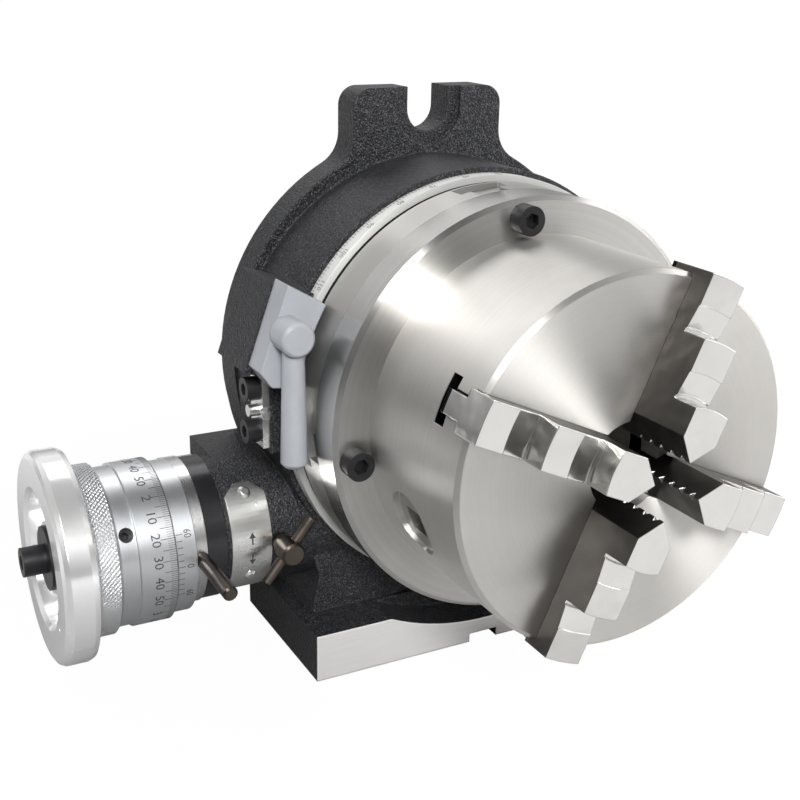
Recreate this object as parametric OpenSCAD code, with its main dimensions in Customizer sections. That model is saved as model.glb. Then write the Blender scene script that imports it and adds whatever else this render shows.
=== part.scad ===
// Indexing head: a rotary table standing on its edge, with an adapter flange
// and a four-jaw self-centring chuck on its face.
// Millimetres. X to the right, Y away from the chuck, Z up. The origin is the
// centre of the machined underside of the foot.

/* [Base casting] */
// Height of the table axis above the foot
axis_height = 103; // [100:0.5:108]
// Depth of the casting from the front of the foot to the rear face
base_depth = 68; // [67:0.5:72]
// Width of the foot
foot_width = 142; // [134:1:150]
// Thickness of the foot at its outer edges
foot_thickness = 18.5; // [15:0.5:24]
// Width of the two keyways under the foot
key_width = 12; // [8:1:16]
// Width of the open bolt slot in the top lug
lug_slot_width = 17; // [12:0.5:20]
// Width of the top lug
lug_width = 62.5; // [56:0.5:70]

/* [Table] */
// Diameter of the table face
table_diameter = 150; // [148:0.5:152]
// Thickness of the table disc in front of the clamp groove
table_thickness = 16; // [15.5:0.5:18]
// Neck width of the table slots
slot_neck = 11.3; // [10:0.1:12.5]

/* [Worm drive] */
// Module of the worm and its wheel
gear_module = 1; // [0.9:0.05:1.1]
// Offset of the worm from the axis of the eccentric sleeve
eccentricity = 3; // [2.5:0.1:3.5]
// Diameter of the handwheel rim
handwheel_diameter = 76; // [70:1:90]
// Diameter of the graduated dial
dial_diameter = 59; // [56:0.5:64]

/* [Chuck] */
// Thickness of the adapter flange
flange_thickness = 15; // [14:0.5:18]
// Length of the chuck body
chuck_length = 56; // [55.5:0.5:60]
// Diameter of the chuck body
chuck_diameter = 125; // [124:0.5:126]
// Distance of the jaw tips from the chuck axis
jaw_opening = 9.5; // [9:0.5:12]

/* [Clamp and lock] */
// Length of the clamp handle below its hub
handle_length = 40; // [30:1:46]
// Length of the cross bar in the lock screw
lock_bar_length = 28; // [22:1:34]

/* [Hidden] */
$fn = 96;
run_gap = 0.06;      // radial clearance of turning and sliding fits
seat_gap = 0.1;      // axial clearance of turning faces
screw_gap = 0.05;    // radial clearance around a screw thread
through_gap = 0.3;   // radial clearance of a screw hole

rear_y = base_depth / 2;
foot_front_y = -base_depth / 2;
drum_front_y = -18;
rim_thickness = 14;
drum_radius = 79;
foot_scallop_radius = 93.7;
key_depth = 3.5;
key_length = 20;
lug_top = 103.5;
lug_slot_centre = 95.5;
lug_blend = 13;
lug_recess = 5;      // width of the shallow recess round the lug slot
rim_rise = 5;        // the rear rim is centred this far above the table axis
rim_radius = 80;

table_radius = table_diameter / 2;
scale_radius = 77;
groove_radius = 71;
groove_width = 2.5;
scale_width = 6;
table_seat_y = drum_front_y - seat_gap;
scale_front_y = table_seat_y - scale_width;
groove_front_y = scale_front_y - groove_width;
table_face_y = groove_front_y - table_thickness;
hub_radius = 32;
shoulder_radius = 40;
journal_radius = 24;
cavity_rear_y = 13;
nut_radius = 30;
nut_recess_radius = 33;
nut_recess_y = rear_y - 8;
table_slots = [6, 96, 186, 276];
slot_wide = 19;
slot_neck_depth = 8;
slot_wide_depth = 7;
tee_radius = 68.7;

wheel_teeth = 90;
pitch = PI * gear_module;
wheel_radius = gear_module * wheel_teeth / 2;
cavity_radius = wheel_radius + gear_module + 2;
worm_radius = 6;
worm_outer = worm_radius + gear_module;
worm_root = worm_radius - 1.2 * gear_module;
worm_turns = 6;
worm_slices = 14;    // steps of the thread surface in one turn
tooth_half = pitch / 4 - 0.1;
flank = tan(20);
lead_angle = atan(gear_module / 2 / worm_radius);
wheel_width = 12;
wheel_y = 4;
worm_y = wheel_y;
worm_z = axis_height - wheel_radius - worm_radius;
sleeve_y = worm_y + eccentricity;
sleeve_radius = 17;
sleeve_inner_x = 46;
window_half = 34;
boss_radius = 25;
boss_face_x = -98.5;
block_face_x = -94;
collar_width = 7.6;
sleeve_flange_x = boss_face_x - collar_width - 0.2;
sleeve_flange_width = 5;
vernier_x = sleeve_flange_x - sleeve_flange_width;
vernier_width = 7;
dial_x = vernier_x - vernier_width - 0.2;
dial_scale_width = 13;
dial_grip_width = 15.6;
wheel_back_x = dial_x - dial_scale_width - dial_grip_width - 0.1;
rim_width = 12;
rim_front_x = wheel_back_x - rim_width;
wheel_hub_radius = 13;
shaft_radius = 5;
thrust_radius = 11;
thrust_width = 4;

flange_radius = 75.2;
flange_front_y = table_face_y - flange_thickness;
register_radius = 47.5;
register_depth = 3.5;
chuck_radius = chuck_diameter / 2;
chuck_bore = 15;
jaw_angle = 66;
jaw_half = 7;
foot_half = 8;
neck_half = 3.8;
neck_gap = 0.5;
groove_low = 42.7;
groove_high = 51.6;
slot_floor = 37.5;
cavity_top = 40.8;
cavity_wall = 46;
cover_radius = 58.4;
cover_depth = 8;
scroll_radius = 45;
scroll_top = slot_floor - 0.2;
ridge_top = cavity_top - 0.4;
ridge_width = 2.3;
jaw_tooth_width = 2.5;
jaw_tooth_half = 5.5;
scroll_pitch = 6;
ring_teeth = 60;
pinion_teeth = 10;
scroll_start = 21;
tube_radius = 19.95;
scroll_lead = scroll_pitch / 2 / PI;
bevel_height = 22.5;
bevel_outer = 42;
bevel_inner = 33;
pinion_radius = bevel_outer * pinion_teeth / ring_teeth;
bevel_add = 1.2;
bevel_ded = 1.6;
ring_step = 360 / ring_teeth;
pinion_angles = [201, 21];
chuck_bolt_radius = 54;
chuck_bolt_angles = [111, 231, 351];
cover_screw_angles = [51, 171, 291];
jaw_outer = jaw_opening + 55;
foot_outer = jaw_outer - 8.5;
jaw_levels = [chuck_length + 7.5, chuck_length + 15, chuck_length + 23];
jaw_steps = [45.5, 26.5];
relief_depth = 1.9;  // undercut at the foot of each jaw riser
relief_rise = 1.3;   // conical relief of the land from there out to its step
relief_step = 0.3;
relief_width = 8.7;

pad_angle = 160.5;
clamp_radius = 87;
clamp_angle = 158.8;
clamp_x = clamp_radius * cos(clamp_angle);
clamp_z = axis_height + clamp_radius * sin(clamp_angle);
clamp_rear_y = drum_front_y - 4;
clamp_depth = 11;
clamp_front_y = clamp_rear_y - clamp_depth;
hub_length = 11;
stud_radius = 3;
index_x = -82;
index_y = -14;
index_heights = [7, -8.5];
lock_x = -78.5;
sleeve_pin_x = vernier_x + 2.75;
vernier_screw_angles = [90, 210, 330];
rivet_angles = [135, 208];
plate_x = -89.3;
plate_width = 15;
lock_bar_angle = 51;

// Places children on the table axis with local z toward the chuck, from plane y.
module front(y) {
    translate([0, y, axis_height]) rotate([90, 0, 0]) children();
}

// Places children on an axis along X through (y, z), local z toward the handwheel.
module side(x, y, z) {
    translate([x, y, z]) rotate([0, -90, 0]) children();
}

// Places children on a radial line of the table axis, local z outward.
module radial(angle) {
    rotate([0, 0, angle]) rotate([0, 90, 0]) children();
}

module ring(outer, inner, height) {
    difference() {
        cylinder(h = height, r = outer);
        translate([0, 0, -1]) cylinder(h = height + 2, r = inner);
    }
}

// Socket-head cap screw: head bottom at z = 0, shank toward -z.
module cap_screw(size, length, head, depth) {
    translate([0, 0, -length]) cylinder(h = length + 0.01, r = size / 2);
    difference() {
        cylinder(h = depth, r = head / 2);
        translate([0, 0, depth * 0.45]) cylinder(h = depth, r = size * 0.46, $fn = 6);
    }
}

// Fillet between the side of the lug and the rear rim, tangent to both.
module lug_fillet(half) {
    reach = half + lug_blend;
    rise = sqrt(pow(rim_radius + lug_blend, 2) - reach * reach);
    inset = 0.985 * rim_radius / (rim_radius + lug_blend);
    difference() {
        polygon([[half - 1, rim_rise + rise], [reach, rim_rise + rise],
                 [inset * reach, rim_rise + inset * rise], [half - 1, 60]]);
        translate([reach, rim_rise + rise]) circle(lug_blend);
    }
}

module lug_outline() {
    half = lug_width / 2;
    corner = 7;
    translate([-half, 60]) square([lug_width, lug_top - 60 - corner]);
    translate([-half + corner, 60]) square([lug_width - 2 * corner, lug_top - 60]);
    for (side = [-1, 1]) {
        translate([side * (half - corner), lug_top - corner]) circle(corner);
        mirror([side < 0 ? 1 : 0, 0]) lug_fillet(half);
    }
}

module lug_slot(width) {
    translate([-width / 2, lug_slot_centre]) cube([width, 20, 2 * rim_thickness]);
    translate([0, lug_slot_centre]) cylinder(h = 2 * rim_thickness, d = width);
}

module clamp_pad() {
    rotate([0, 0, pad_angle]) translate([60, -16, 0]) cube([clamp_radius - 55, 32, 26]);
}

module base_body() {
    front(rear_y) {
        cylinder(h = rear_y - drum_front_y, r = drum_radius);
        linear_extrude(rim_thickness) {
            translate([0, rim_rise]) circle(rim_radius, $fn = 128);
            lug_outline();
        }
    }
    front(4) clamp_pad();
    translate([0, 0, axis_height]) {
        translate([index_x, drum_front_y - 2, -16]) cube([20, 14, 30]);
    }
    difference() {
        translate([-foot_width / 2, foot_front_y, 0]) cube([foot_width, base_depth, foot_thickness]);
        front(drum_front_y) cylinder(h = 40, r = foot_scallop_radius);
    }
    translate([0, rear_y, 0]) rotate([90, 0, 0]) linear_extrude(rear_y - drum_front_y - 2) pedestal_outline();
    side(-40, sleeve_y, worm_z) cylinder(h = -40 - boss_face_x, r = boss_radius);
    translate([block_face_x, sleeve_y, worm_z - boss_radius]) {
        cube([-block_face_x - 40, rear_y - sleeve_y, 2 * boss_radius]);
    }
}

module pedestal_outline() {
    half = foot_width / 2;
    polygon([[-half + 6, foot_thickness - 1], [half - 6, foot_thickness - 1], [half - 9, foot_thickness + 14],
             [74, axis_height - 25], [-74, axis_height - 25], [-half + 9, foot_thickness + 14]]);
}

// Cast body with the machined seats, the worm bore and the T-shaped foot.
module base_casting() {
    color("#1d1d20") difference() {
        base_body();
        front(cavity_rear_y) cylinder(h = 60, r = cavity_radius);
        front(rear_y + 1) cylinder(h = 60, r = journal_radius + run_gap);
        front(rear_y + 1) cylinder(h = rear_y - nut_recess_y + 1, r = nut_recess_radius);
        front(drum_front_y) cylinder(h = 12, r = scale_radius + 0.6);
        front(rear_y + 1) lug_slot(lug_slot_width);
        front(rear_y - rim_thickness + 1.5) lug_slot(lug_slot_width + 2 * lug_recess);
        for (y = [foot_front_y - 1, rear_y - key_length]) {
            translate([-key_width / 2, y, -1]) cube([key_width, key_length + 1, key_depth + 1]);
        }
        side(sleeve_inner_x + 1, sleeve_y, worm_z) cylinder(h = 200, r = sleeve_radius + run_gap);
        translate([lock_x, 0, worm_z]) rotate([90, 0, 0]) cylinder(h = 60, r = 3 + screw_gap);
        translate([clamp_x, clamp_rear_y + 14, clamp_z]) rotate([90, 0, 0]) {
            cylinder(h = 30, r = stud_radius + screw_gap);
        }
        for (z = index_heights) side(index_x + 10, index_y, axis_height + z) {
            cylinder(h = 20, r = 2.5 + screw_gap);
        }
        side(index_x + 6, index_y, axis_height - 1) cylinder(h = 20, r = 2.2);
        for (a = rivet_angles) rivet_place(a) cylinder(h = 8, r = 1.3);
    }
}

module rivet_place(angle) {
    side(plate_x, sleeve_y, worm_z) rotate([0, 0, 90 - angle]) rotate([0, 90, 0]) {
        translate([0, 0, 21]) children();
    }
}

// Curved plate round the worm boss with the engage arrow side toward the user.
module instruction_plate() {
    color("#c9c9c6") difference() {
        side(plate_x + plate_width / 2, sleeve_y, worm_z) rotate([0, 0, -138]) {
            rotate_extrude(angle = 102) translate([boss_radius + 0.02, 0]) square([1, plate_width]);
        }
        for (k = [-1, 1]) rivet_place(126) translate([k * plate_width / 2, 0, 3]) rotate([0, 0, 45]) {
            cube([6.5, 6.5, 8], center = true);
        }
        for (a = rivet_angles) rivet_place(a) cylinder(h = 8, r = 1.3);
    }
}

module plate_rivets() {
    color("#b5b3ad") for (a = rivet_angles) rivet_place(a) {
        cylinder(h = 5.05, r = 1.25);
        translate([0, 0, 5.03]) cylinder(h = 1, r1 = 2.4, r2 = 1.4);
    }
}

// Bright pointer plate beside the degree scale, with its notch toward the table.
module index_plate() {
    color("#c8c8c4") difference() {
        translate([index_x - 2.5, drum_front_y - 1, axis_height - 14]) cube([2.5, 11, 26]);
        for (z = index_heights) side(index_x + 1, index_y, axis_height + z) {
            cylinder(h = 9, r = 2.5 + through_gap);
        }
        side(index_x + 1, index_y, axis_height - 1) cylinder(h = 9, r = 2.2 + run_gap);
        translate([index_x - 3, drum_front_y - 1, axis_height - 1]) rotate([0, 90, 0]) rotate([0, 0, 45]) {
            translate([-1.6, -1.6, 0]) cube([3.2, 3.2, 4]);
        }
    }
}

module index_screws() {
    color("#1b1b1c") for (z = index_heights) side(index_x - 2.5, index_y, axis_height + z) {
        cap_screw(5, 10, 8.5, 5);
    }
}

module index_pin() {
    color("#cfc6b4") side(index_x + 5.9, index_y, axis_height - 1) cylinder(h = 12, r = 2.15);
}

// Clamp block: follows the table rim and reaches into its groove with a toe.
module clamp_block() {
    toe_y = scale_front_y - seat_gap;
    color("#9a9da1") difference() {
        union() {
            front(clamp_rear_y) rotate([0, 0, pad_angle - 11]) {
                rotate_extrude(angle = 22, $fn = 192) translate([scale_radius + 0.4, 0]) square([15.8, clamp_depth]);
            }
            front(toe_y) rotate([0, 0, pad_angle - 9]) {
                rotate_extrude(angle = 18, $fn = 192) translate([groove_radius + 0.7, 0]) square([8, groove_width - 0.4]);
            }
        }
        front(clamp_rear_y + 1) rotate([0, 0, pad_angle]) translate([91.4, -20, 0]) cube([6, 40, 20]);
        front(clamp_rear_y + 1) rotate([0, 0, pad_angle + 11]) translate([93, 0, 0]) rotate([0, 0, 45]) {
            translate([-4, -8, 0]) cube([12, 12, 20]);
        }
        translate([clamp_x, clamp_rear_y + 1, clamp_z]) rotate([90, 0, 0]) {
            cylinder(h = 20, r = stud_radius + through_gap);
        }
    }
}

module clamp_stud() {
    color("#8d8f92") translate([clamp_x, clamp_rear_y + 13.5, clamp_z]) rotate([90, 0, 0]) {
        cylinder(h = 13.5 + clamp_depth + hub_length - 4, r = stud_radius);
    }
}

// Tapped hub of the clamp lever; it turns on the stud and presses the block.
module clamp_hub() {
    color("#a3a6a9") translate([clamp_x, clamp_front_y - 0.05, clamp_z]) rotate([90, 0, 0]) difference() {
        union() {
            cylinder(h = hub_length - 1, r = 5.9);
            translate([0, 0, hub_length - 1]) cylinder(h = 1, r1 = 5.9, r2 = 5);
        }
        translate([0, 0, -1]) cylinder(h = hub_length - 2.6, r = stud_radius + run_gap);
        translate([0, 0, 5.5]) rotate([90, 0, 0]) cylinder(h = 10, r = 1.5);
    }
}

module clamp_handle() {
    color("#a3a6a9") translate([clamp_x, clamp_front_y - 5.55, clamp_z]) rotate([180, 0, 0]) {
        translate([0, 0, 4.2]) cylinder(h = 3, r = 1.5);
        difference() {
            translate([0, 0, 4.8]) cylinder(h = handle_length - 1, r1 = 3.7, r2 = 4.7);
            translate([0, 20, 0]) rotate([90, 0, 0]) cylinder(h = 40, r = 5.95);
        }
        translate([0, 0, handle_length + 3.8]) cylinder(h = 1.4, r1 = 4.7, r2 = 3.4);
    }
}

// Cross-bar screw that pinches the eccentric sleeve.
module lock_screw() {
    color("#4a4038") translate([lock_x, sleeve_y - sleeve_radius - 0.15, worm_z]) rotate([90, 0, 0]) difference() {
        union() {
            cylinder(h = 10, r = 3);
            translate([0, 0, 9.4]) cylinder(h = 4.2, r1 = 3.2, r2 = 4.3);
            translate([0, 0, 13.6]) cylinder(h = 7.2, r = 4.3);
            translate([0, 0, 20.8]) cylinder(h = 0.8, r1 = 4.3, r2 = 3.6);
        }
        translate([0, 0, 16.5]) rotate([0, 0, lock_bar_angle]) rotate([0, 90, 0]) {
            translate([0, 0, -10]) cylinder(h = 20, r = 1.9 + run_gap);
        }
    }
}

module lock_bar() {
    color("#4a4038") translate([lock_x, sleeve_y - sleeve_radius - 16.65, worm_z]) rotate([90, 0, 0]) {
        rotate([0, 0, lock_bar_angle]) rotate([0, 90, 0]) {
            translate([0, 0, -lock_bar_length / 2]) cylinder(h = lock_bar_length, r = 1.9);
        }
    }
}

module table_slot(angle) {
    rotate([0, 0, angle]) {
        translate([26, -slot_wide / 2, 0]) cube([60, slot_wide, slot_wide_depth]);
        translate([26, -slot_neck / 2, 0]) cube([60, slot_neck, 30]);
    }
}

// Table with its degree rim, clamp groove, tee slots, hub and taper bore.
module table() {
    slot_bottom_y = table_face_y + slot_neck_depth + slot_wide_depth;
    color("#bcbbb6") difference() {
        union() {
            front(table_seat_y) cylinder(h = scale_width, r = scale_radius, $fn = 192);
            front(scale_front_y) cylinder(h = groove_width, r = groove_radius);
            front(groove_front_y) cylinder(h = table_thickness, r = table_radius, $fn = 192);
            front(worm_y - wheel_width / 2) cylinder(h = 20, r = shoulder_radius);
            front(cavity_rear_y - 0.5) cylinder(h = 30, r = hub_radius);
            front(nut_recess_y) cylinder(h = 30, r = journal_radius);
            front(rear_y - 1.5) cylinder(h = 20, r = 21);
        }
        for (a = table_slots) front(slot_bottom_y) table_slot(a);
        front(table_face_y + 4) cylinder(h = 10, r = 12.5);
        front(table_face_y + 68) cylinder(h = 64.01, r1 = 7.29, r2 = 8.89);
        front(rear_y) cylinder(h = 60, r = 6.5);
        for (a = [0:90:270]) front(worm_y - wheel_width / 2 + 1) rotate([0, 0, a + 51]) {
            translate([36, 0, 0]) cylinder(h = 12, r = 2 + screw_gap);
        }
    }
}

module wheel_outline() {
    tip = tooth_half - flank * gear_module;
    root = tooth_half + flank * 1.25 * gear_module;
    outer = wheel_radius + gear_module;
    inner = wheel_radius - 1.25 * gear_module;
    polygon([for (i = [0:wheel_teeth - 1])
             for (p = [[inner, -root], [outer, -tip], [outer, tip], [inner, root]])
             let (a = 270 + (i + 0.5) * 360 / wheel_teeth)
             [p[0] * cos(a) - p[1] * sin(a), p[0] * sin(a) + p[1] * cos(a)]]);
}

// Bronze wheel with teeth slanted to the lead of the worm.
module worm_wheel() {
    slant = wheel_width * tan(lead_angle) / wheel_radius * 180 / PI;
    color("#b98a45") difference() {
        front(wheel_y + wheel_width / 2) rotate([0, 0, -slant / 2]) {
            linear_extrude(height = wheel_width, twist = -slant, slices = 1) wheel_outline();
        }
        front(wheel_y + wheel_width / 2 + 1) cylinder(h = wheel_width + 2, r = hub_radius + screw_gap);
        for (a = [0:90:270]) front(wheel_y + wheel_width / 2 + 1) rotate([0, 0, a + 51]) translate([36, 0, 0]) {
            cylinder(h = wheel_width + 2, r = 2 + through_gap);
            cylinder(h = 5.2, r = 3.75);
        }
    }
}

module wheel_screws() {
    color("#2a2a2c") for (a = [0:90:270]) front(wheel_y + wheel_width / 2 - 4.2) rotate([0, 0, a + 51]) {
        translate([36, 0, 0]) rotate([180, 0, 0]) cap_screw(4, 16, 7, 4);
    }
}

// Ring nut that draws the table against its seat on the casting.
module retaining_nut() {
    color("#6e6f72") front(rear_y - 1.5) difference() {
        cylinder(h = rear_y - 1.5 - nut_recess_y - seat_gap, r = nut_radius);
        translate([0, 0, -1]) cylinder(h = 12, r = 21 + screw_gap);
        for (a = [0:90:270]) rotate([0, 0, a]) translate([25.5, 0, -1]) cylinder(h = 4, r = 2);
        translate([0, 0, 3]) radial(40) translate([0, 0, 18]) cylinder(h = 20, r = 1.5 + screw_gap);
    }
}

module nut_set_screw() {
    color("#2a2a2c") front(rear_y - 4.5) radial(40) translate([0, 0, 21.1]) difference() {
        cylinder(h = 7, r = 1.5);
        translate([0, 0, 5]) cylinder(h = 4, r = 0.8, $fn = 6);
    }
}

module tee_nuts() {
    color("#7a7b7e") for (a = table_slots) front(table_face_y + slot_neck_depth + slot_wide_depth) rotate([0, 0, a]) {
        difference() {
            union() {
                translate([tee_radius - 7.5, -slot_wide / 2 + 0.25, 0.3]) {
                    cube([11.5, slot_wide - 0.5, slot_wide_depth - 0.3]);
                }
                translate([tee_radius - 7.5, -slot_neck / 2 + 0.15, 1]) cube([11.5, slot_neck - 0.3, 6.5]);
            }
            translate([tee_radius, 0, -1]) cylinder(h = 20, r = 3 + screw_gap);
        }
    }
}

// Adapter flange: carries the chuck on its register and bolts to the table.
module adapter_flange() {
    color("#c9c8c4") front(table_face_y) difference() {
        union() {
            cylinder(h = flange_thickness - 1.6, r = flange_radius, $fn = 192);
            translate([0, 0, flange_thickness - 1.6]) {
                cylinder(h = 1.6, r1 = flange_radius, r2 = flange_radius - 1.6, $fn = 192);
            }
            cylinder(h = flange_thickness + register_depth, r = register_radius);
            translate([0, 0, -3.8]) cylinder(h = 5, r = 12.5 - screw_gap);
        }
        translate([0, 0, -5]) cylinder(h = 40, r = 9.5);
        translate([0, 0, flange_thickness - 5]) cylinder(h = 20, r = chuck_bore);
        for (a = table_slots) rotate([0, 0, a]) translate([tee_radius, 0, -1]) {
            cylinder(h = 30, r = 3 + through_gap);
        }
        for (a = chuck_bolt_angles) rotate([0, 0, a]) translate([chuck_bolt_radius, 0, -1]) {
            cylinder(h = 30, r = 4 + through_gap);
            cylinder(h = 9.6, r = 7);
        }
    }
}

module flange_screws() {
    color("#18181a") for (a = table_slots) front(flange_front_y) rotate([0, 0, a]) translate([tee_radius, 0, 0]) {
        cap_screw(6, flange_thickness + 13, 10, 6);
    }
}

module chuck_bolts() {
    color("#18181a") for (a = chuck_bolt_angles) front(table_face_y - 8.6) rotate([0, 0, a]) {
        translate([chuck_bolt_radius, 0, 0]) rotate([180, 0, 0]) cap_screw(8, flange_thickness + 9, 13, 8);
    }
}

module slot_step(half, low, high) {
    translate([0, -half, low]) cube([80, 2 * half, high - low]);
}

module jaw_slot() {
    slot_step(foot_half + run_gap, slot_floor, groove_low);
    slot_step(neck_half + neck_gap, slot_floor, groove_high + 1);
    slot_step(jaw_half + run_gap, groove_high, chuck_length + 1);
}

// Chuck body: crossed tee slots for the jaws, scroll cavity and pinion bores.
module chuck_body() {
    color("#c6c5c0") front(flange_front_y) difference() {
        union() {
            cylinder(h = chuck_length - 1.4, r = chuck_radius, $fn = 192);
            translate([0, 0, chuck_length - 1.4]) {
                cylinder(h = 1.4, r1 = chuck_radius, r2 = chuck_radius - 1.4, $fn = 192);
            }
        }
        translate([0, 0, -1]) cylinder(h = cover_depth + 1, r = cover_radius + screw_gap);
        translate([0, 0, cover_depth - 1]) ring(cavity_wall, tube_radius, cavity_top - cover_depth + 1);
        translate([0, 0, -1]) cylinder(h = chuck_length + 2, r = chuck_bore);
        for (k = [0:3]) rotate([0, 0, jaw_angle + 90 * k]) jaw_slot();
        for (a = pinion_angles) translate([0, 0, bevel_height]) radial(a) {
            translate([0, 0, cavity_wall - 4]) cylinder(h = 30, r = 10.5 + run_gap);
            translate([0, 0, chuck_radius - 2.6]) cylinder(h = 10, r = 11.5);
        }
        for (a = chuck_bolt_angles) rotate([0, 0, a]) translate([chuck_bolt_radius, 0, 0]) {
            cylinder(h = 20, r = 4 + screw_gap);
        }
        for (a = cover_screw_angles) rotate([0, 0, a]) translate([chuck_bolt_radius, 0, 0]) {
            cylinder(h = 17, r = 2 + screw_gap);
        }
    }
}

// Rear cover of the chuck: takes the register and closes the scroll cavity.
module chuck_cover() {
    color("#aaa9a5") front(flange_front_y) difference() {
        union() {
            cylinder(h = cover_depth, r = cover_radius);
            cylinder(h = cover_depth + 3.8, r = cavity_wall - 0.1);
        }
        translate([0, 0, -1]) cylinder(h = register_depth + 1.1, r = register_radius + screw_gap);
        translate([0, 0, -1]) cylinder(h = 20, r = tube_radius + screw_gap);
        for (a = chuck_bolt_angles) rotate([0, 0, a]) translate([chuck_bolt_radius, 0, -1]) {
            cylinder(h = 20, r = 4 + through_gap);
        }
        for (a = cover_screw_angles) rotate([0, 0, a]) translate([chuck_bolt_radius, 0, -1]) {
            cylinder(h = 20, r = 2 + through_gap);
            cylinder(h = 5.2, r = 3.75);
        }
    }
}

module cover_screws() {
    color("#2a2a2c") for (a = cover_screw_angles) front(flange_front_y - 4.2) rotate([0, 0, a]) {
        translate([chuck_bolt_radius, 0, 0]) rotate([180, 0, 0]) cap_screw(4, 12, 7, 4);
    }
}

module spiral_outline() {
    turn = 1308;
    inner = [for (a = [0:6:turn]) let (r = scroll_start + 0.5 + scroll_lead * a * PI / 180 - ridge_width / 2)
             [r * cos(a), r * sin(a)]];
    outer = [for (a = [turn:-6:0]) let (r = scroll_start + 0.5 + scroll_lead * a * PI / 180 + ridge_width / 2)
             [r * cos(a), r * sin(a)]];
    polygon(concat(inner, outer));
}

// Section of the crown teeth in the plane of the scroll face, seen from the apex.
module crown_outline() {
    drop = scroll_top - bevel_height;
    tip_r = drop * bevel_outer / (pinion_radius - bevel_add);
    mid_r = drop * bevel_outer / pinion_radius;
    root_r = drop * bevel_outer / (pinion_radius + bevel_ded);
    polygon([for (i = [0:ring_teeth - 1])
             for (p = [[root_r, -2], [mid_r, -1.3], [tip_r, -0.72], [tip_r, 0.72], [mid_r, 1.3], [root_r, 2]])
             [p[0] * cos(i * ring_step + p[1]), p[0] * sin(i * ring_step + p[1])]]);
}

// Scroll: spiral ridge in front drives the jaws, bevel ring behind meets the pinions.
module scroll_plate() {
    drop = scroll_top - bevel_height;
    depth = drop - 4;
    color("#77787b") front(flange_front_y) {
        translate([0, 0, cover_depth + 3.8 + seat_gap]) {
            ring(28, tube_radius + run_gap, scroll_top - cover_depth - 3.8 - seat_gap);
        }
        translate([0, 0, scroll_top - 8]) ring(bevel_inner, 27, 8);
        translate([0, 0, scroll_top - 2]) ring(scroll_radius, bevel_inner - 1, 2);
        intersection() {
            translate([0, 0, scroll_top]) mirror([0, 0, 1]) {
                linear_extrude(height = depth, scale = (drop - depth) / drop) crown_outline();
            }
            translate([0, 0, scroll_top - 12]) ring(bevel_outer, bevel_inner - 0.5, 12);
        }
        translate([0, 0, scroll_top - 0.01]) linear_extrude(ridge_top - scroll_top + 0.01) spiral_outline();
    }
}

module pinion_outline() {
    scale_in = bevel_inner / bevel_outer;
    tip = (pinion_radius + bevel_add) * scale_in;
    mid = pinion_radius * scale_in;
    root = (pinion_radius - bevel_ded) * scale_in;
    polygon([for (i = [0:pinion_teeth - 1])
             for (p = [[root, -12.5], [mid, -7.9], [tip, -3], [tip, 3], [mid, 7.9], [root, 12.5]])
             [p[0] * cos(i * 360 / pinion_teeth + p[1]), p[0] * sin(i * 360 / pinion_teeth + p[1])]]);
}

module pinion(angle) {
    color("#8b8c8f") front(flange_front_y) translate([0, 0, bevel_height]) radial(angle) difference() {
        union() {
            translate([0, 0, bevel_inner + 0.1]) {
                linear_extrude(height = bevel_outer - bevel_inner - 0.2, scale = bevel_outer / bevel_inner) {
                    pinion_outline();
                }
            }
            translate([0, 0, bevel_outer - 0.2]) cylinder(h = cavity_wall - bevel_outer + 1, r = 5);
            translate([0, 0, cavity_wall + 0.6]) cylinder(h = 12.9, r = 10.5);
            translate([0, 0, cavity_wall + 13.5]) cylinder(h = 1, r1 = 10.5, r2 = 9.6);
        }
        translate([-4.5, -4.5, cavity_wall + 3]) cube([9, 9, 20]);
    }
}

module pinion_1() {
    pinion(pinion_angles[0]);
}

module pinion_2() {
    pinion(pinion_angles[1]);
}

module jaw_outline(half, limit) {
    intersection() {
        polygon([[jaw_opening, 0], [jaw_opening + half, half], [90, half], [90, -half], [jaw_opening + half, -half]]);
        circle(limit, $fn = 192);
    }
}

module jaw_slab(half, limit, low, high) {
    translate([0, 0, low]) linear_extrude(high - low) jaw_outline(half, limit);
}

module jaw_teeth(angle) {
    first = scroll_start + 0.5 + scroll_pitch * (angle / 360 + 0.5);
    tooth_height = ridge_top + 0.5 - slot_floor;
    for (n = [-3:6]) let (r = first + n * scroll_pitch) if (r > jaw_opening + foot_half && r < foot_outer - 2) {
        translate([0, 0, slot_floor + 0.2]) intersection() {
            translate([0, scroll_lead, 0]) ring(r + jaw_tooth_width / 2, r - jaw_tooth_width / 2, tooth_height);
            translate([0, -jaw_tooth_half, 0]) cube([80, 2 * jaw_tooth_half, tooth_height]);
        }
    }
}

// One stepped jaw with relieved lands and a notched grip edge; its teeth are cut to
// the phase of the scroll at its slot.
module jaw(index) {
    angle = jaw_angle + 90 * index;
    color("#cfcecb") front(flange_front_y) rotate([0, 0, angle]) difference() {
        union() {
            jaw_slab(foot_half, foot_outer, ridge_top + 0.4, groove_low - 0.1);
            jaw_slab(neck_half, jaw_outer, groove_low - 1, groove_high + 1);
            jaw_slab(jaw_half, jaw_outer, groove_high + 0.1, jaw_levels[0]);
            jaw_slab(jaw_half, jaw_steps[0], groove_high + 1, jaw_levels[1]);
            jaw_slab(jaw_half, jaw_steps[1], groove_high + 1, jaw_levels[2]);
            jaw_teeth(angle);
        }
        for (k = [0:1]) translate([0, 0, jaw_levels[k]]) rotate_extrude($fn = 192) translate([jaw_steps[k], 0]) {
            polygon([[-0.01, -relief_depth], [1, -relief_depth], [1.4, -relief_rise], [relief_width, -relief_step],
                     [relief_width, 1], [-0.01, 1]]);
        }
        for (n = [0:4]) translate([jaw_opening, 0, jaw_levels[2] - 3.2 - 4.8 * n]) rotate([0, 45, 0]) {
            cube([1.8, 2 * jaw_half, 1.8], center = true);
        }
    }
}

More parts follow.
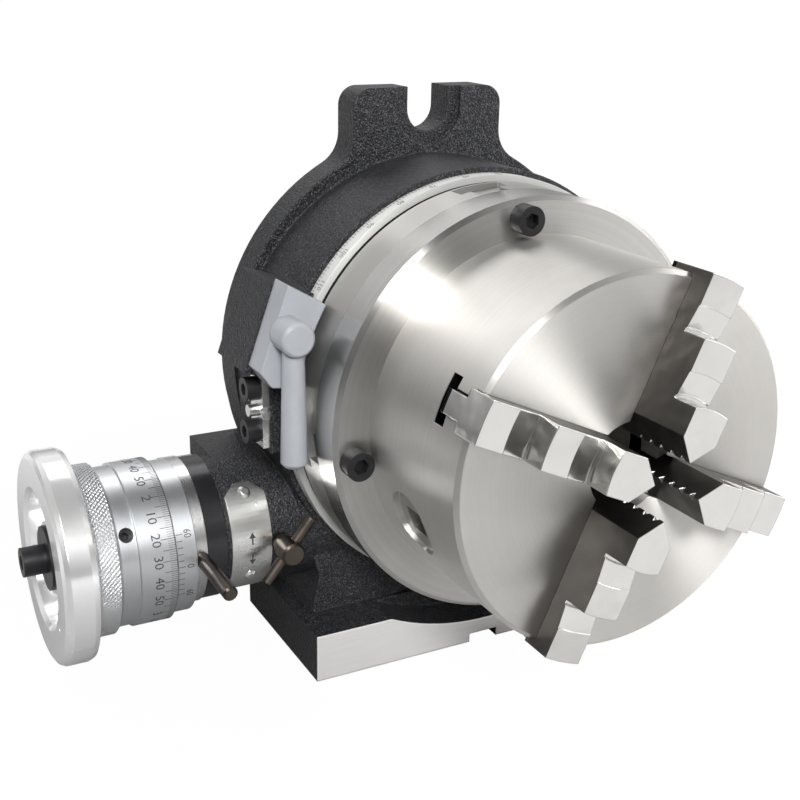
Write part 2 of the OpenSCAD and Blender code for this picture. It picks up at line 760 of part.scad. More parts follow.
module jaw_1() {
    jaw(0);
}

module jaw_2() {
    jaw(1);
}

module jaw_3() {
    jaw(2);
}

module jaw_4() {
    jaw(3);
}

// Eccentric sleeve: carries the worm shaft off centre and swings it out of mesh.
module eccentric_sleeve() {
    color("#b4b4b0") difference() {
        union() {
            side(sleeve_inner_x, sleeve_y, worm_z) cylinder(h = sleeve_inner_x - sleeve_flange_x, r = sleeve_radius);
            side(sleeve_flange_x, sleeve_y, worm_z) cylinder(h = sleeve_flange_width, r = 27);
        }
        side(sleeve_inner_x + 1, worm_y, worm_z) cylinder(h = 200, r = shaft_radius + run_gap);
        side(window_half, worm_y, worm_z) cylinder(h = 2 * window_half, r = 8.2);
        translate([-window_half, sleeve_y - 30, worm_z - 3]) cube([2 * window_half, 60, 40]);
        side(vernier_x + thrust_width + 0.2, worm_y, worm_z) cylinder(h = 20, r = thrust_radius + 0.15);
        translate([sleeve_pin_x, sleeve_y - 30, worm_z]) rotate([-90, 0, 0]) {
            cylinder(h = 13, r = 1.7 + screw_gap);
        }
        for (a = vernier_screw_angles) side(vernier_x + 4.5, worm_y, worm_z) rotate([0, 0, a]) {
            translate([19, 0, 0]) cylinder(h = 10, r = 1.5 + screw_gap);
        }
    }
}

module sleeve_collar() {
    color("#17171a") side(boss_face_x - 0.2, sleeve_y, worm_z) {
        ring(26.5, sleeve_radius + screw_gap, collar_width);
    }
}

// Tommy pin that turns the eccentric sleeve.
module sleeve_pin() {
    color("#3a332c") translate([sleeve_pin_x, sleeve_y - 18, worm_z]) rotate([90, 0, 0]) {
        cylinder(h = 9.5, r = 1.7);
        translate([0, 0, 9.2]) cylinder(h = 28, r = 2.6);
        translate([0, 0, 37.2]) cylinder(h = 0.8, r1 = 2.6, r2 = 1.9);
    }
}

module vernier_ring() {
    color("#c2c4c6") side(vernier_x, worm_y, worm_z) difference() {
        cylinder(h = vernier_width, r = 27.8);
        translate([0, 0, -1]) cylinder(h = 20, r = 8 + through_gap);
        for (a = vernier_screw_angles) rotate([0, 0, a]) translate([19, 0, -1]) {
            cylinder(h = 20, r = 1.5 + through_gap);
            translate([0, 0, vernier_width - 2.2]) cylinder(h = 5, r = 2.9);
        }
    }
}

module vernier_screws() {
    color("#2a2a2c") for (a = vernier_screw_angles) side(vernier_x - vernier_width + 3.2, worm_y, worm_z) {
        rotate([0, 0, a]) translate([19, 0, 0]) cap_screw(3, 8, 5.5, 3);
    }
}

module worm_outline() {
    tip = tooth_half - flank * gear_module;
    root = tooth_half + flank * 1.2 * gear_module;
    polygon([for (a = [-180:18:162])
             let (u = abs(a) / 360 * pitch)
             let (r = u < tip ? worm_outer : u > root ? worm_root : worm_outer - (u - tip) / flank)
             [r * cos(a), r * sin(a)]]);
}

// Worm cut in one with its shaft, thrust collar and dial shoulder.
module worm_shaft() {
    length = pitch * worm_turns;
    shaft_end_x = rim_front_x + 4.4;
    color("#8f9092") difference() {
        union() {
            side(length / 2, worm_y, worm_z) {
                linear_extrude(height = length, twist = -360 * worm_turns, slices = worm_slices * worm_turns, $fn = 20) {
                    worm_outline();
                }
            }
            side(sleeve_inner_x - 1, worm_y, worm_z) cylinder(h = sleeve_inner_x - 1 - length / 2, r = shaft_radius);
            side(-length / 2, worm_y, worm_z) cylinder(h = -length / 2 - shaft_end_x, r = shaft_radius);
            side(length / 2 + 1, worm_y, worm_z) cylinder(h = length + 2, r = worm_root - 0.3);
            side(vernier_x + thrust_width + 0.1, worm_y, worm_z) cylinder(h = thrust_width, r = thrust_radius);
            side(vernier_x + 1, worm_y, worm_z) cylinder(h = vernier_x + 1 - dial_x, r = 8);
        }
        side(shaft_end_x + 16, worm_y, worm_z) cylinder(h = 20, r = 3 + screw_gap);
        translate([-146, worm_y - 1.5, worm_z + 3.2]) cube([20, 3, 4]);
    }
}

// Graduated dial with its knurled grip, free to be set to zero on the wheel hub.
module dial_drum() {
    radius = dial_diameter / 2;
    color("#bfc0c0") difference() {
        side(dial_x - 0.1, worm_y, worm_z) rotate_extrude($fn = 192) polygon([
            [wheel_hub_radius + run_gap, 0], [radius - 0.5, 0], [radius, 0.5], [radius, dial_scale_width],
            [radius - 0.8, dial_scale_width + 0.3], [radius - 0.8, dial_scale_width + 6.2],
            [radius + 0.8, dial_scale_width + 7], [radius + 0.8, dial_scale_width + 14.4],
            [radius, dial_scale_width + dial_grip_width - 0.2], [wheel_hub_radius + run_gap, dial_scale_width + dial_grip_width - 0.2]
        ]);
        dial_screw_place() cylinder(h = 40, r = 2.5 + screw_gap);
    }
}

module dial_screw_place() {
    side(dial_x - dial_scale_width - 3.4, worm_y, worm_z) radial(-59) children();
}

module dial_screw() {
    color("#1b1b1c") dial_screw_place() translate([0, 0, wheel_hub_radius + 0.25]) difference() {
        cylinder(h = 13, r = 2.5);
        translate([0, 0, 10]) cylinder(h = 4, r = 1.3, $fn = 6);
    }
}

// Handwheel: broad polished rim, recessed web and the hub the dial turns on.
module handwheel() {
    rim = handwheel_diameter / 2;
    hub_end = rim_front_x + 3.2;
    color("#d6d6d4") difference() {
        union() {
            side(wheel_back_x, worm_y, worm_z) rotate_extrude($fn = 192) polygon([
                [9, 0], [rim - 2.5, 0], [rim - 0.7, 0.7], [rim, 2.5], [rim, rim_width - 2.5],
                [rim - 0.9, rim_width - 0.9], [rim - 2.5, rim_width], [25.5, rim_width], [24, rim_width - 1.5],
                [23, 4], [9, 4]
            ]);
            side(dial_x, worm_y, worm_z) cylinder(h = dial_x - hub_end, r = wheel_hub_radius);
        }
        side(dial_x + 1, worm_y, worm_z) cylinder(h = 60, r = shaft_radius + screw_gap);
        translate([-150, worm_y - 1.5, worm_z + 3]) cube([60, 3, 3.4]);
        side(rim_front_x + 8, worm_y, worm_z) rotate([0, 0, -121]) translate([29, 0, 0]) cylinder(h = 10, r = 1.2);
    }
}

module wheel_key() {
    color("#8f9092") translate([-146, worm_y - 1.5, worm_z + 3.2]) cube([20, 3, 3.1]);
}

module wheel_washer() {
    color("#2a2a2c") side(rim_front_x + 3.2, worm_y, worm_z) ring(11.5, 3 + through_gap, 1.5);
}

module wheel_screw() {
    color("#18181a") side(rim_front_x + 1.7, worm_y, worm_z) cap_screw(6, 15, 10.4, 8);
}

base_casting();
instruction_plate();
plate_rivets();
index_plate();
index_screws();
index_pin();
clamp_block();
clamp_stud();
clamp_hub();
clamp_handle();
lock_screw();
lock_bar();
table();
worm_wheel();
wheel_screws();
retaining_nut();
nut_set_screw();
tee_nuts();
adapter_flange();
flange_screws();
chuck_bolts();
chuck_body();
chuck_cover();
cover_screws();
scroll_plate();
pinion_1();
pinion_2();
jaw_1();
jaw_2();
jaw_3();
jaw_4();
eccentric_sleeve();
sleeve_collar();
sleeve_pin();
vernier_ring();
vernier_screws();
worm_shaft();
dial_drum();
dial_screw();
handwheel();
wheel_key();
wheel_washer();
wheel_screw();
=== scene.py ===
"""Looks of a worm-driven indexing head with a four-jaw scroll chuck.

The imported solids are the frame. This script gives each of them its finish and adds
what the solids leave out: engraved scales with their figures, knurling, the arrows of
the instruction plate, and the floor, lamps and camera.
Lengths are millimetres until a mesh is made, where MM turns them into metres.
"""

from __future__ import annotations

import logging
import math
from dataclasses import dataclass, field
from enum import Enum

import bmesh
import bpy
import numpy as np
from mathutils import Matrix, Vector


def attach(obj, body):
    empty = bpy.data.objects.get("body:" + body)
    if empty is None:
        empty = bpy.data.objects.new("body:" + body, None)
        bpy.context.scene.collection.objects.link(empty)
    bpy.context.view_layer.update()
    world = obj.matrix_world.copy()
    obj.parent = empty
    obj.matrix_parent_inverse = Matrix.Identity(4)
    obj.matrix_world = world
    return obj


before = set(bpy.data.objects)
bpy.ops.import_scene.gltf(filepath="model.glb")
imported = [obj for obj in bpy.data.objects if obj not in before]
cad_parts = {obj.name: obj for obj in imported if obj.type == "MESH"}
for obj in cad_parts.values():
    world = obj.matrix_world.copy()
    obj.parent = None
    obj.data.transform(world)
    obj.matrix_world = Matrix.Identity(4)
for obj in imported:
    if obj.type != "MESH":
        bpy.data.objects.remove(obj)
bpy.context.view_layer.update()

LOG = logging.getLogger("indexing_head")
MM = 0.001
Color = tuple[float, float, float]
Point = tuple[float, float, float]

TABLE_AXIS: Point = (0.0, 0.0, 103.0)
WORM_AXIS: Point = (0.0, 4.0, 52.0)
SLEEVE_AXIS: Point = (0.0, 7.0, 52.0)
INK = 0.03  # height of a printed or filled mark over its face


class Turning(Enum):
    """Direction of the lathe axis that a turned finish runs round."""

    ALONG_X = (1.0, 0.0, 0.0)
    ALONG_Y = (0.0, 1.0, 0.0)


class Graph:
    """Short way to place and link shader nodes in one tree."""

    def __init__(self, tree: bpy.types.NodeTree) -> None:
        """Keep the tree that nodes go into."""
        self.tree = tree

    def node(self, kind: str, settings: dict | None = None, **inputs: object) -> bpy.types.Node:
        """Place a node, set its properties and fill its inputs.

        Args:
            kind: the node's type without the leading ShaderNode.
            settings: properties of the node itself.
            **inputs: input values or output sockets, named as the sockets with _ for a space.

        Returns:
            The new node.
        """
        made = self.tree.nodes.new("ShaderNode" + kind)
        for name, value in (settings or {}).items():
            setattr(made, name, value)
        self.feed(made, **inputs)
        return made

    def feed(self, node: bpy.types.Node, **inputs: object) -> None:
        """Fill inputs of a node by name, or by number as i0, i1 and so on."""
        for name, value in inputs.items():
            key = int(name[1:]) if name[0] == "i" and name[1:].isdigit() else name.replace("_", " ")
            if isinstance(value, bpy.types.NodeSocket):
                self.tree.links.new(value, node.inputs[key])
            else:
                node.inputs[key].default_value = value

    def math(self, operation: str, a: object, b: object = 0.0) -> bpy.types.NodeSocket:
        """Result of one Math node."""
        return self.node("Math", {"operation": operation}, i0=a, i1=b).outputs[0]

    def vector(self, operation: str, a: object, b: object) -> bpy.types.NodeSocket:
        """Result of one Vector Math node."""
        made = self.node("VectorMath", {"operation": operation}, i0=a, i1=b)
        return made.outputs["Value" if operation == "DOT_PRODUCT" else "Vector"]

    def length(self, value: object) -> bpy.types.NodeSocket:
        """Length of a vector."""
        return self.node("VectorMath", {"operation": "LENGTH"}, i0=value).outputs["Value"]

    def ramp(self, value: bpy.types.NodeSocket, stops: list[tuple[float, float]]) -> bpy.types.NodeSocket:
        """Grey ramp through (position, level) stops."""
        made = self.node("ValToRGB", Fac=value)
        elements = made.color_ramp.elements
        while len(elements) < len(stops):
            elements.new(0.5)
        for element, (position, level) in zip(elements, stops):
            element.position = position
            element.color = (level, level, level, 1.0)
        return made.outputs["Color"]

    def mix(self, factor: object, a: object, b: object) -> bpy.types.NodeSocket:
        """Colour mix of a and b by factor."""
        made = self.tree.nodes.new("ShaderNodeMix")
        made.data_type = "RGBA"
        for index, value in ((0, factor), (6, a), (7, b)):
            if isinstance(value, bpy.types.NodeSocket):
                self.tree.links.new(value, made.inputs[index])
            elif index == 0:
                made.inputs[index].default_value = value
            else:
                made.inputs[index].default_value = (*value, 1.0)
        return made.outputs[2]

    def relief(self, shader: bpy.types.Node, edge: float, samples: int, **bump: object) -> None:
        """Round a finish's edges in its shading and emboss its faces.

        Args:
            shader: the Principled shader.
            edge: radius of the edges, in metres.
            samples: rays that look for an edge.
            **bump: inputs of a Bump node, or nothing for smooth faces.
        """
        normal = self.node("Bevel", {"samples": samples}, Radius=edge).outputs[0]
        if bump:
            normal = self.node("Bump", Normal=normal, **bump).outputs[0]
        self.feed(shader, Normal=normal)


def effect_group(
    name: str, inputs: dict[str, object], outputs: dict[str, str]
) -> tuple[bpy.types.NodeTree, Graph]:
    """Start a shader node group with named sockets.

    Args:
        name: name of the group.
        inputs: socket name to default value; a tuple makes a vector socket.
        outputs: socket name to socket type.

    Returns:
        The group and a Graph on it; its input and output nodes are named "in" and "out".
    """
    tree = bpy.data.node_groups.new(name, "ShaderNodeTree")
    for key, value in inputs.items():
        kind = "NodeSocketVector" if isinstance(value, tuple) else "NodeSocketFloat"
        socket = tree.interface.new_socket(key, in_out="INPUT", socket_type=kind)
        socket.default_value = value
    for key, kind in outputs.items():
        tree.interface.new_socket(key, in_out="OUTPUT", socket_type=kind)
    tree.nodes.new("NodeGroupInput").name = "in"
    tree.nodes.new("NodeGroupOutput").name = "out"
    return tree, Graph(tree)


@dataclass(frozen=True)
class Effects:
    """Shader node groups that several finishes use."""

    turned: bpy.types.NodeTree
    smudges: bpy.types.NodeTree
    pebbles: bpy.types.NodeTree

    @classmethod
    def build(cls) -> Effects:
        """Make the groups once."""
        return cls(cls._turned(), cls._smudges(), cls._pebbles())

    @staticmethod
    def _turned() -> bpy.types.NodeTree:
        """Rings of a lathe: noise over (distance from the axis, place along it)."""
        tree, g = effect_group(
            "turned_rings",
            {"Vector": (0.0, 0.0, 0.0), "Centre": (0.0, 0.0, 0.0), "Axis": (0.0, 1.0, 0.0), "Scale": 2000.0},
            {"Tone": "NodeSocketFloat"},
        )
        source = tree.nodes["in"].outputs
        local = g.vector("SUBTRACT", source["Vector"], source["Centre"])
        along = g.vector("DOT_PRODUCT", local, source["Axis"])
        on_axis = g.node("VectorMath", {"operation": "SCALE"}, i0=source["Axis"], Scale=along).outputs[0]
        across = g.length(g.vector("SUBTRACT", local, on_axis))
        place = g.node("CombineXYZ", X=across, Y=along).outputs[0]
        noise = g.node("TexNoise", Vector=place, Scale=source["Scale"], Detail=4.0, Roughness=0.6)
        g.feed(tree.nodes["out"], Tone=noise.outputs["Fac"])
        return tree

    @staticmethod
    def _smudges() -> bpy.types.NodeTree:
        """Soft uneven patches, as oil and handling leave on bare metal."""
        tree, g = effect_group(
            "handling_smudges", {"Vector": (0.0, 0.0, 0.0), "Scale": 30.0}, {"Mask": "NodeSocketFloat"}
        )
        source = tree.nodes["in"].outputs
        noise = g.node("TexNoise", Vector=source["Vector"], Scale=source["Scale"], Detail=5.0, Roughness=0.65)
        g.feed(tree.nodes["out"], Mask=g.ramp(noise.outputs["Fac"], [(0.38, 0.0), (0.66, 1.0)]))
        return tree

    @staticmethod
    def _pebbles() -> bpy.types.NodeTree:
        """Skin of thick enamel on rough cast iron: small round hills with a larger swell."""
        tree, g = effect_group(
            "cast_pebbles",
            {"Vector": (0.0, 0.0, 0.0), "Scale": 900.0},
            {"Height": "NodeSocketFloat", "Speck": "NodeSocketFloat"},
        )
        place, scale = (tree.nodes["in"].outputs[key] for key in ("Vector", "Scale"))
        cells = g.node("TexVoronoi", {"feature": "SMOOTH_F1"}, Vector=place, Scale=scale)
        swell = g.node("TexNoise", Vector=place, Scale=g.math("MULTIPLY", scale, 0.35), Detail=3.0)
        height = g.math("ADD", g.math("MULTIPLY", cells.outputs["Distance"], -0.8), swell.outputs["Fac"])
        fine = g.node("TexNoise", Vector=place, Scale=g.math("MULTIPLY", scale, 1.8), Detail=2.0)
        speck = g.ramp(fine.outputs["Fac"], [(0.52, 0.0), (0.70, 1.0)])
        g.feed(tree.nodes["out"], Height=height, Speck=speck)
        return tree


def metres(point: Point) -> Point:
    """A point in millimetres as metres."""
    return tuple(c * MM for c in point)


@dataclass(frozen=True)
class Finish:
    """Colour and gloss that every finish shares."""

    name: str
    color: Color
    roughness: float
    specular: float = field(default=0.5, kw_only=True)

    def start(self) -> tuple[bpy.types.Material, Graph, bpy.types.Node, bpy.types.NodeSocket]:
        """Make the material with its Principled shader.

        Returns:
            The material, its graph, the shader and the object coordinates.
        """
        made = bpy.data.materials.new(self.name)
        made.use_nodes = True
        made.node_tree.nodes.clear()
        g = Graph(made.node_tree)
        shader = g.node("BsdfPrincipled", Roughness=self.roughness)
        shader.inputs["Base Color"].default_value = (*self.color, 1.0)
        shader.inputs["Specular IOR Level"].default_value = self.specular
        g.node("OutputMaterial", Surface=shader.outputs[0])
        place = g.node("TexCoord").outputs["Object"]
        return made, g, shader, place

    def material(self, effects: Effects) -> bpy.types.Material:
        """The plain finish."""
        return self.start()[0]


@dataclass(frozen=True)
class TurnedMetal(Finish):
    """Bare metal off a lathe or grinder, its fine rings round one axis.

    Gloss spreads a quarter turn from the tangent, so across the rings. side_polish takes
    roughness off the faces round the axis. satin_beyond is the place along Y past which
    the metal is satin, and dark_band holds the lowest and highest Y, from the axis's
    centre, and the radius within which a groove or an opening is in shadow.
    """

    centre: Point = TABLE_AXIS
    turning: Turning = Turning.ALONG_Y
    anisotropy: float = 0.7
    ring_scale: float = 2200.0
    ring_tone: float = 0.10
    ring_depth: float = 0.000004
    edge: float = 0.00035
    metallic: float = 1.0
    side_polish: float = 0.0
    smudge: Color = (0.42, 0.40, 0.37)
    satin: Color = (0.60, 0.60, 0.585)
    shadow: Color = (0.010, 0.010, 0.010)
    satin_beyond: float | None = None
    dark_band: tuple[float, float, float] | None = None

    def material(self, effects: Effects) -> bpy.types.Material:
        """Metal whose gloss stretches across its turning rings."""
        made, g, shader, place = self.start()
        g.feed(shader, Metallic=self.metallic, Anisotropic=self.anisotropy, Anisotropic_Rotation=0.25)
        axis, centre = self.turning.value, metres(self.centre)
        rings = g.node("Group", {"node_tree": effects.turned}, Vector=place, Centre=centre, Axis=axis,
                       Scale=self.ring_scale)
        patches = g.node("Group", {"node_tree": effects.smudges}, Vector=place, Scale=28.0)
        dark = tuple(c * (1.0 - 2.0 * self.ring_tone) for c in self.color)
        toned = g.mix(rings.outputs["Tone"], self.color, dark)
        shade = g.mix(g.math("MULTIPLY", patches.outputs["Mask"], 0.10), toned, self.smudge)
        spread = g.math("MULTIPLY", patches.outputs["Mask"], 0.06)
        rough = g.math("ADD", spread, g.math("MULTIPLY", rings.outputs["Tone"], 0.10))
        rough = g.math("ADD", rough, self.roughness - 0.04)
        if self.side_polish > 0.0:
            along = g.vector("DOT_PRODUCT", g.node("TexCoord").outputs["Normal"], axis)
            side = g.math("LESS_THAN", g.math("ABSOLUTE", along), 0.5)
            rough = g.math("SUBTRACT", rough, g.math("MULTIPLY", side, self.side_polish))
            stretch = g.math("MULTIPLY", side, 0.4 * self.anisotropy)
            g.feed(shader, Anisotropic=g.math("SUBTRACT", self.anisotropy, stretch))
        if self.satin_beyond is not None:
            reach = g.node("SeparateXYZ", Vector=place).outputs["Y"]
            satin = g.math("GREATER_THAN", reach, self.satin_beyond * MM)
            shade = g.mix(satin, shade, self.satin)
            rough = g.math("ADD", rough, g.math("MULTIPLY", satin, 0.22))
            g.feed(shader, Metallic=g.math("SUBTRACT", 1.0, g.math("MULTIPLY", satin, 0.45)))
        if self.dark_band is not None:
            low, high, within = self.dark_band
            split = g.node("SeparateXYZ", Vector=g.vector("SUBTRACT", place, centre)).outputs
            across = g.length(g.node("CombineXYZ", X=split["X"], Y=split["Z"]).outputs[0])
            inside = g.math("MULTIPLY", g.math("GREATER_THAN", split["Y"], low * MM),
                            g.math("LESS_THAN", split["Y"], high * MM))
            inside = g.math("MULTIPLY", inside, g.math("LESS_THAN", across, within * MM))
            shade = g.mix(inside, shade, self.shadow)
        g.relief(shader, self.edge, 4, Height=rings.outputs["Tone"], Distance=self.ring_depth, Strength=0.6)
        around = g.vector("CROSS_PRODUCT", g.vector("SUBTRACT", place, centre), axis)
        frames = {"vector_type": "VECTOR", "convert_from": "OBJECT", "convert_to": "WORLD"}
        tangent = g.node("VectorTransform", frames, Vector=around).outputs[0]
        g.feed(shader, Base_Color=shade, Roughness=rough, Tangent=tangent)
        return made


@dataclass(frozen=True)
class GroundJaw(Finish):
    """Hardened jaw: bright ground lands and ends, dark flanks.

    across is the direction that the flanks face, and buried the place along Y past
    which the jaw is inside the chuck and in shadow.
    """

    across: Point = (1.0, 0.0, 0.0)
    flank: Color = (0.10, 0.094, 0.088)
    smudge: Color = (0.60, 0.58, 0.55)
    streak: Color = (0.45, 0.44, 0.42)
    shadow: Color = (0.008, 0.008, 0.008)
    buried: float = -101.0

    def material(self, effects: Effects) -> bpy.types.Material:
        """Bright steel, darker wherever a face looks across the jaw."""
        made, g, shader, place = self.start()
        facing = g.node("TexCoord").outputs["Normal"]
        sideways = g.math("ABSOLUTE", g.vector("DOT_PRODUCT", facing, self.across))
        dark = g.ramp(sideways, [(0.45, 0.0), (0.60, 1.0)])
        patches = g.node("Group", {"node_tree": effects.smudges}, Vector=place, Scale=90.0)
        stretched = g.vector("MULTIPLY", place, (1500.0, 90.0, 1500.0))
        streaks = g.node("TexNoise", Vector=stretched, Scale=1.0, Detail=2.0)
        bright = g.mix(g.math("MULTIPLY", patches.outputs["Mask"], 0.35), self.color, self.smudge)
        brushed = g.mix(g.math("MULTIPLY", streaks.outputs["Fac"], 0.25), bright, self.streak)
        inside = g.math("GREATER_THAN", g.node("SeparateXYZ", Vector=place).outputs["Y"], self.buried * MM)
        tone = g.mix(inside, g.mix(dark, brushed, self.flank), self.shadow)
        rough = g.math("ADD", g.math("MULTIPLY", dark, 0.20), self.roughness)
        g.feed(shader, Metallic=1.0, Base_Color=tone, Roughness=rough)
        waves = g.node("TexNoise", Vector=place, Scale=110.0, Detail=1.0)
        g.relief(shader, 0.0006, 8, Height=waves.outputs["Fac"], Distance=0.0012, Strength=0.5)
        return made


@dataclass(frozen=True)
class PlainMetal(Finish):
    """Oiled or blackened steel with soft patches."""

    metallic: float = 1.0
    patch: Color = (0.1, 0.1, 0.1)
    patch_scale: float = 60.0
    edge: float = 0.0003

    def material(self, effects: Effects) -> bpy.types.Material:
        """Metal with uneven tone and gloss."""
        made, g, shader, place = self.start()
        patches = g.node("Group", {"node_tree": effects.smudges}, Vector=place, Scale=self.patch_scale)
        toned = g.mix(g.math("MULTIPLY", patches.outputs["Mask"], 0.5), self.color, self.patch)
        rough = g.math("ADD", g.math("MULTIPLY", patches.outputs["Mask"], 0.12), self.roughness)
        g.feed(shader, Metallic=self.metallic, Base_Color=toned, Roughness=rough)
        g.relief(shader, self.edge, 4)
        return made


@dataclass(frozen=True)
class CastEnamel(Finish):
    """Black enamel on rough iron, machined bright on the foot's front, the sole and the rear face."""

    speck: Color = (0.11, 0.11, 0.12)
    steel: Color = (0.92, 0.91, 0.89)
    foot_front: float = -33.95
    foot_height: float = 20.0
    sole: float = 0.05
    rear_face: float = 33.95

    def material(self, effects: Effects) -> bpy.types.Material:
        """Pebbled enamel, and ground iron where the casting is machined."""
        made, g, shader, place = self.start()
        skin = g.node("Group", {"node_tree": effects.pebbles}, Vector=place, Scale=1400.0)
        split = g.node("SeparateXYZ", Vector=place).outputs
        front = g.math("LESS_THAN", split["Y"], self.foot_front * MM)
        low = g.math("LESS_THAN", split["Z"], self.foot_height * MM)
        sole = g.math("LESS_THAN", split["Z"], self.sole * MM)
        rear = g.math("GREATER_THAN", split["Y"], self.rear_face * MM)
        bare = g.math("MAXIMUM", g.math("MULTIPLY", front, low), g.math("MAXIMUM", sole, rear))
        stretched = g.vector("MULTIPLY", place, (60.0, 60.0, 2600.0))
        lines = g.node("TexNoise", Vector=stretched, Scale=1.0, Detail=3.0)
        enamel = g.mix(skin.outputs["Speck"], self.color, self.speck)
        iron = g.mix(lines.outputs["Fac"], self.steel, tuple(0.86 * c for c in self.steel))
        painted = g.math("ADD", g.math("MULTIPLY", skin.outputs["Speck"], 0.12), self.roughness)
        rough = g.node("Mix", {"data_type": "FLOAT"}, i0=bare, i2=painted, i3=0.48).outputs[0]
        g.feed(shader, Base_Color=g.mix(bare, enamel, iron), Metallic=g.math("MULTIPLY", bare, 0.7),
               Roughness=rough)
        height = g.math("MULTIPLY", skin.outputs["Height"], g.math("SUBTRACT", 1.0, bare))
        g.relief(shader, 0.0012, 6, Height=height, Distance=0.00045, Strength=0.9)
        return made


@dataclass(frozen=True)
class SmoothEnamel(Finish):
    """Thin even enamel over a smoothed casting."""

    grain: float = 1500.0

    def material(self, effects: Effects) -> bpy.types.Material:
        """Enamel with a faint orange-peel and soft edges."""
        made, g, shader, place = self.start()
        noise = g.node("TexNoise", Vector=place, Scale=self.grain, Detail=2.0)
        pale = tuple(min(1.0, 1.12 * c) for c in self.color)
        patches = g.node("Group", {"node_tree": effects.smudges}, Vector=place, Scale=50.0)
        g.feed(shader, Base_Color=g.mix(patches.outputs["Mask"], self.color, pale))
        g.relief(shader, 0.0009, 6, Height=noise.outputs["Fac"], Distance=0.00005, Strength=0.5)
        return made


class Paints:
    """All finishes of the head, each made once."""

    def __init__(self, effects: Effects) -> None:
        """Build the materials from their finishes."""
        worm = {"centre": WORM_AXIS, "turning": Turning.ALONG_X}
        finishes = [
            CastEnamel("cast_enamel", (0.009, 0.009, 0.010), 0.46, specular=0.32),
            SmoothEnamel("grey_enamel", (0.33, 0.345, 0.37), 0.36),
            TurnedMetal("chuck_steel", (0.72, 0.70, 0.67), 0.42, anisotropy=0.85,
                        dark_band=(-100.6, -94.9, 62.2)),
            TurnedMetal("flange_steel", (0.66, 0.65, 0.63), 0.31, anisotropy=0.97, ring_tone=0.14,
                        side_polish=0.12),
            TurnedMetal("table_steel", (0.56, 0.55, 0.53), 0.34, ring_tone=0.12, satin_beyond=-24.25,
                        dark_band=(-26.7, -24.0, 74.6)),
            GroundJaw("jaw_steel_a", (0.72, 0.71, 0.69), 0.18, across=(-0.9135, 0.0, 0.4067)),
            GroundJaw("jaw_steel_b", (0.72, 0.71, 0.69), 0.18, across=(0.4067, 0.0, 0.9135)),
            TurnedMetal("dial_satin", (0.70, 0.72, 0.74), 0.34, anisotropy=0.3, ring_tone=0.06, **worm),
            PlainMetal("knurl_satin", (0.62, 0.63, 0.64), 0.30, patch=(0.55, 0.55, 0.55)),
            TurnedMetal("wheel_polish", (0.95, 0.95, 0.95), 0.17, anisotropy=0.5, ring_tone=0.03,
                        metallic=0.72, **worm),
            TurnedMetal("sleeve_steel", (0.72, 0.72, 0.72), 0.24, anisotropy=0.4, **worm),
            PlainMetal("black_oxide", (0.022, 0.022, 0.024), 0.36, metallic=0.6, patch=(0.05, 0.05, 0.052)),
            PlainMetal("black_polish", (0.020, 0.020, 0.022), 0.16, metallic=0.3, patch=(0.03, 0.03, 0.032)),
            PlainMetal("brown_steel", (0.085, 0.072, 0.062), 0.30, patch=(0.16, 0.135, 0.115)),
            PlainMetal("plain_steel", (0.55, 0.55, 0.55), 0.34, patch=(0.42, 0.42, 0.41)),
            PlainMetal("plate_tin", (0.80, 0.80, 0.78), 0.26, patch=(0.62, 0.62, 0.60)),
            PlainMetal("bronze", (0.62, 0.42, 0.18), 0.32, patch=(0.50, 0.33, 0.14)),
            Finish("mark_black", (0.05, 0.045, 0.04), 0.6),
            Finish("mark_grey", (0.16, 0.15, 0.14), 0.6),
        ]
        self.made = {finish.name: finish.material(effects) for finish in finishes}

    def __getitem__(self, name: str) -> bpy.types.Material:
        """The material of that name."""
        return self.made[name]


NODE_FINISH = {
    "cast_enamel": ["base_casting"],
    "grey_enamel": ["clamp_block", "clamp_hub", "clamp_handle"],
    "chuck_steel": ["chuck_body", "chuck_cover"],
    "flange_steel": ["adapter_flange"],
    "table_steel": ["table", "pinion_1", "pinion_2"],
    "jaw_steel_a": ["jaw_1", "jaw_3"],
    "jaw_steel_b": ["jaw_2", "jaw_4"],
    "dial_satin": ["dial_drum", "vernier_ring"],
    "wheel_polish": ["handwheel"],
    "sleeve_steel": ["eccentric_sleeve"],
    "black_oxide": ["index_screws", "wheel_screws", "retaining_nut", "nut_set_screw", "flange_screws",
                    "chuck_bolts", "cover_screws", "vernier_screws", "dial_screw", "wheel_washer",
                    "wheel_screw"],
    "black_polish": ["sleeve_collar"],
    "brown_steel": ["lock_screw", "lock_bar", "sleeve_pin"],
    "plain_steel": ["clamp_stud", "tee_nuts", "scroll_plate", "worm_shaft", "wheel_key"],
    "plate_tin": ["instruction_plate", "plate_rivets", "index_plate", "index_pin"],
    "bronze": ["worm_wheel"],
}


def dress_nodes(paints: Paints) -> None:
    """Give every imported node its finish."""
    for finish, names in NODE_FINISH.items():
        for name in names:
            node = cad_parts[name]
            node.data.materials.clear()
            node.data.materials.append(paints[finish])
        LOG.info("%s on %d nodes", finish, len(names))


